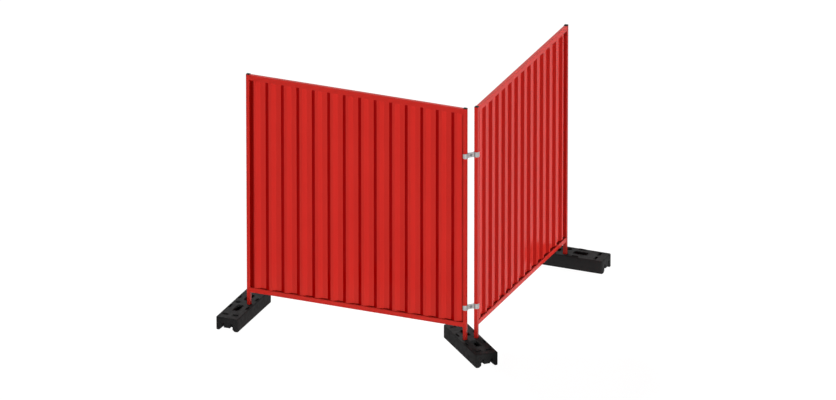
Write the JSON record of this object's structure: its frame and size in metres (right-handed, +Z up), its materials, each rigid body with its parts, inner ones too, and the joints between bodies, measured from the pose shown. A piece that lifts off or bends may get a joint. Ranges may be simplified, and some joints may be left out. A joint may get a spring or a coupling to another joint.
{
  "type": "hoarding panel corner set",
  "caption": "Corner set of steel hoarding panels with ribbed red cladding in square tube frames, standing in black moulded feet and held at the corner by bolted couplers.",
  "frame": {"origin": "on the ground, at the middle of the set's bounding box in plan", "axes": "+X along the left panel towards the corner, +Y along the right panel away from the corner, +Z up"},
  "size_m": [2.5512, 2.5512, 2.208],
  "materials": {
    "red_paint": "gloss powder coat",
    "foot_moulding": "matt moulded",
    "cap_plastic": "fine grain",
    "galvanised_steel": "zinc, dull"
  },
  "bodies": {
    "corner_base": {"corner_foot": "foot_moulding", "upper_coupler_front": "galvanised_steel", "upper_coupler_rear": "galvanised_steel", "upper_coupler_bolt": "galvanised_steel", "upper_coupler_washer": "galvanised_steel", "upper_coupler_nut": "galvanised_steel", "lower_coupler_front": "galvanised_steel", "lower_coupler_rear": "galvanised_steel", "lower_coupler_bolt": "galvanised_steel", "lower_coupler_washer": "galvanised_steel", "lower_coupler_nut": "galvanised_steel"},
    "left_panel": {"left_corner_post": "red_paint", "left_end_post": "red_paint", "left_top_rail": "red_paint", "left_bottom_rail": "red_paint", "left_cladding": "red_paint", "left_top_angle": "red_paint", "left_bottom_angle": "red_paint", "left_rivets": "red_paint", "left_corner_cap": "cap_plastic", "left_end_cap": "cap_plastic"},
    "right_panel": {"right_corner_post": "red_paint", "right_end_post": "red_paint", "right_top_rail": "red_paint", "right_bottom_rail": "red_paint", "right_cladding": "red_paint", "right_top_angle": "red_paint", "right_bottom_angle": "red_paint", "right_rivets": "red_paint", "right_corner_cap": "cap_plastic", "right_end_cap": "cap_plastic"},
    "left_foot": {"left_foot": "foot_moulding"},
    "right_foot": {"right_foot": "foot_moulding"}
  },
  "joints": [
    {"name": "left_panel_swing", "type": "hinge", "parent": "corner_base", "child": "left_panel", "pos_m": [0.84344, -0.91556, 0.118], "axis": [0, 0, 1], "range_deg": [-10, 60]},
    {"name": "right_panel_swing", "type": "hinge", "parent": "corner_base", "child": "right_panel", "pos_m": [0.91556, -0.84344, 0.118], "axis": [0, 0, 1], "range_deg": [-60, 10]},
    {"name": "left_foot_turn", "type": "hinge", "parent": "left_panel", "child": "left_foot", "pos_m": [-1.12456, -0.91556, 0.118], "axis": [0, 0, 1], "range_deg": [-90, 90]},
    {"name": "right_foot_turn", "type": "hinge", "parent": "right_panel", "child": "right_foot", "pos_m": [0.91556, 1.12456, 0.118], "axis": [0, 0, 1], "range_deg": [-90, 90]}
  ]
}
